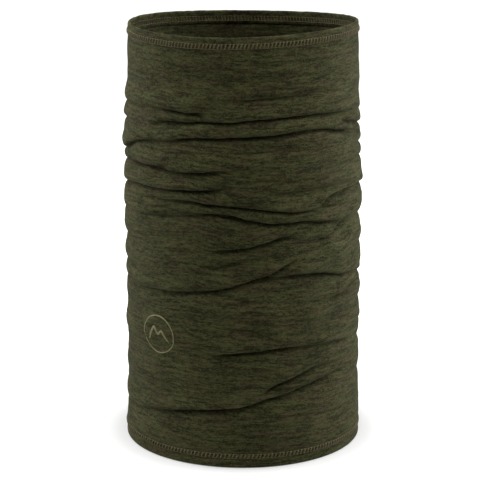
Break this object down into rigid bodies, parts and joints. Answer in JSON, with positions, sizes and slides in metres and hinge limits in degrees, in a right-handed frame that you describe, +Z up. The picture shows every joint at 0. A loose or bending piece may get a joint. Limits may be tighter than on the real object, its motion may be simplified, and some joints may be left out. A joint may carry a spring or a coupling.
{
  "type": "neck gaiter",
  "caption": "Seamless knitted neck gaiter: a soft olive tube, gathered along its height, with a stitched hem at each end and a small printed emblem.",
  "frame": {"origin": "centre of the bottom rim, on the surface that the tube stands on", "axes": "+Z up along the tube's axis, -Y to the front, +X to the right seen from the front"},
  "size_m": [0.1609, 0.1608, 0.283],
  "materials": {
    "merino_knit": "heathered fine jersey",
    "sewing_thread": "spun polyester thread",
    "emblem_print": "matte transfer print",
    "label_cloth": "woven satin tape"
  },
  "bodies": {
    "tube": {"knit_tube": "merino_knit", "bottom_hem_turn": "merino_knit", "bottom_needle_threads": "sewing_thread", "bottom_cover_thread": "sewing_thread", "bottom_looper_thread": "sewing_thread", "emblem_ring": "emblem_print", "emblem_motif": "emblem_print", "care_label": "label_cloth", "care_label_stitches": "sewing_thread"},
    "top_edge": {"top_hem_turn": "merino_knit", "top_needle_threads": "sewing_thread", "top_cover_thread": "sewing_thread", "top_looper_thread": "sewing_thread"}
  },
  "joints": [
    {"name": "pull_up", "type": "slide", "parent": "tube", "child": "top_edge", "axis": [0, 0, 1], "range_m": [-0.05, 0.09], "deforming": ["knit_tube"]}
  ]
}
